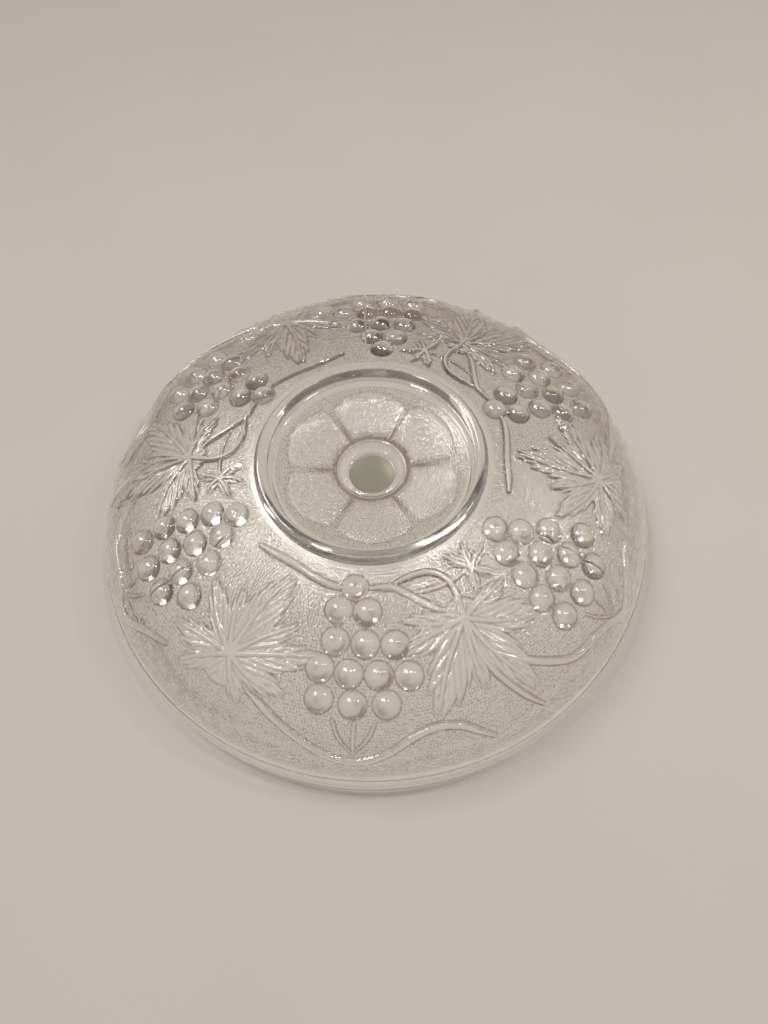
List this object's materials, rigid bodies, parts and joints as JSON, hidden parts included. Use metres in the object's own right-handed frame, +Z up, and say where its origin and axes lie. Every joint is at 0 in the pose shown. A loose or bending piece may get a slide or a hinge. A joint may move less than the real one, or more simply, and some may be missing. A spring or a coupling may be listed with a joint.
{
  "type": "punch bowl",
  "caption": "Shallow round punch bowl of clear pressed glass with a grape and vine relief, a plain rim band and a foot ring, standing upside down on its rim.",
  "frame": {"origin": "centre of the rim circle, on the plane that the rim stands on", "axes": "+Z up along the bowl's axis, from the rim to the foot ring, because the bowl stands upside down; +X to the right and +Y away from a viewer in front"},
  "size_m": [0.3048, 0.3048, 0.066],
  "materials": {
    "clear_glass": "fire-polished clear glass, smooth and bright",
    "stippled_glass": "clear glass with a fine pebbled mould texture",
    "thick_glass": "clear glass that shows its faint grey-green tint in the thick centre"
  },
  "bodies": {
    "root": {"bowl_wall_1": "stippled_glass", "bowl_wall_2": "stippled_glass", "bowl_wall_3": "stippled_glass", "rim_band_1": "clear_glass", "rim_band_2": "clear_glass", "rim_band_3": "clear_glass", "foot_ring_1": "clear_glass", "foot_ring_2": "clear_glass", "foot_ring_3": "clear_glass", "base_floor": "stippled_glass", "base_petals": "stippled_glass", "base_hollow": "thick_glass", "grape_bunch_1": "clear_glass", "grape_bunch_2": "clear_glass", "grape_bunch_3": "clear_glass", "grape_bunch_4": "clear_glass", "grape_bunch_5": "clear_glass", "grape_bunch_6": "clear_glass", "tall_leaf_1": "clear_glass", "tall_leaf_2": "clear_glass", "tall_leaf_3": "clear_glass", "broad_leaf_1": "clear_glass", "broad_leaf_2": "clear_glass", "broad_leaf_3": "clear_glass", "bud_leaf_1": "clear_glass", "bud_leaf_2": "clear_glass", "bud_leaf_3": "clear_glass", "bunch_stem_1": "clear_glass", "bunch_stem_2": "clear_glass", "bunch_stem_3": "clear_glass", "loop_stem_1": "clear_glass", "loop_stem_2": "clear_glass", "loop_stem_3": "clear_glass", "rim_vine_1": "clear_glass", "rim_vine_2": "clear_glass", "rim_vine_3": "clear_glass", "bunch_stalks": "clear_glass"}
  },
  "joints": []
}
